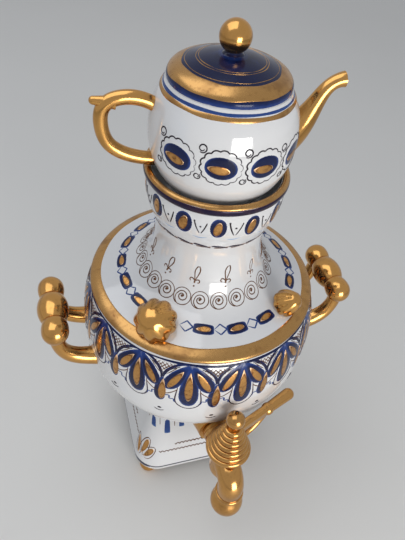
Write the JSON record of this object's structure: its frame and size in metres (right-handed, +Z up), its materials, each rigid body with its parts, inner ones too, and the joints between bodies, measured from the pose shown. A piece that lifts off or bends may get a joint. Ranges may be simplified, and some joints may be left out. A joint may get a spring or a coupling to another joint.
{
  "type": "porcelain samovar with teapot",
  "caption": "White porcelain samovar with cobalt and gold ornament: square plinth, round bowl with tap and two handles, domed lid with a cup that carries a small lidded teapot.",
  "frame": {"origin": "centre of the square footprint, on the table plane under the four feet", "axes": "+Z up along the bowl's axis, the tap towards -Y, the carrying handles on +X and -X"},
  "size_m": [0.2666, 0.2407, 0.4266],
  "materials": {
    "white_porcelain": "glossy white glaze with painted cobalt and gold ornament",
    "gilded_porcelain": "burnished gold over glaze",
    "gilded_brass": "burnished gilding on cast brass",
    "steel": "plain turned steel",
    "rubber_seal": "matt grey rubber"
  },
  "bodies": {
    "samovar": {"bowl": "white_porcelain", "waist_ring": "white_porcelain", "plinth": "white_porcelain", "foot_front_left": "gilded_porcelain", "foot_front_right": "gilded_porcelain", "foot_back_left": "gilded_porcelain", "foot_back_right": "gilded_porcelain", "tie_seal": "rubber_seal", "tie_bolt": "steel", "tie_washer": "steel", "tie_nut": "steel", "handle_arm_left_front": "gilded_porcelain", "handle_arm_left_back": "gilded_porcelain", "handle_arm_right_front": "gilded_porcelain", "handle_arm_right_back": "gilded_porcelain", "handle_grip_left": "gilded_porcelain", "handle_grip_right": "gilded_porcelain", "tap_boss": "gilded_porcelain", "tap_sleeve": "rubber_seal", "tap_body": "gilded_brass"},
    "tap_key": {"tap_plug": "gilded_brass", "tap_washer": "steel", "tap_nut": "gilded_brass", "tap_cap": "gilded_brass", "tap_finial": "gilded_brass", "tap_lever": "gilded_brass"},
    "lid": {"lid": "white_porcelain", "knob_rosette_front": "gilded_porcelain", "knob_rosette_back": "gilded_porcelain", "knob_ball_front": "gilded_porcelain", "knob_ball_back": "gilded_porcelain", "knob_pad_front": "rubber_seal", "knob_pad_back": "rubber_seal", "knob_nut_front": "steel", "knob_nut_back": "steel"},
    "vent_cap": {"vent_rosette": "gilded_porcelain", "vent_ball": "gilded_porcelain"},
    "cup": {"cup": "white_porcelain"},
    "teapot": {"teapot_body": "white_porcelain", "teapot_handle": "gilded_porcelain", "teapot_spout": "gilded_porcelain"},
    "teapot_lid": {"teapot_lid": "white_porcelain", "teapot_finial": "gilded_porcelain"}
  },
  "joints": [
    {"name": "tap_turn", "type": "hinge", "parent": "samovar", "child": "tap_key", "pos_m": [0, -0.11, 0.124], "axis": [0, 0, -1], "range_deg": [0, 90]},
    {"name": "lid_lift", "type": "slide", "parent": "samovar", "child": "lid", "axis": [0, 0, 1], "range_m": [0, 0.06]},
    {"name": "vent_lift", "type": "slide", "parent": "lid", "child": "vent_cap", "axis": [0.4268, -0.4807, 0.766], "range_m": [0, 0.025]},
    {"name": "cup_lift", "type": "slide", "parent": "lid", "child": "cup", "axis": [0, 0, 1], "range_m": [0, 0.03]},
    {"name": "teapot_lift", "type": "slide", "parent": "cup", "child": "teapot", "axis": [0, 0, 1], "range_m": [0, 0.05]},
    {"name": "teapot_lid_lift", "type": "slide", "parent": "teapot", "child": "teapot_lid", "axis": [0, 0, 1], "range_m": [0, 0.03]}
  ]
}
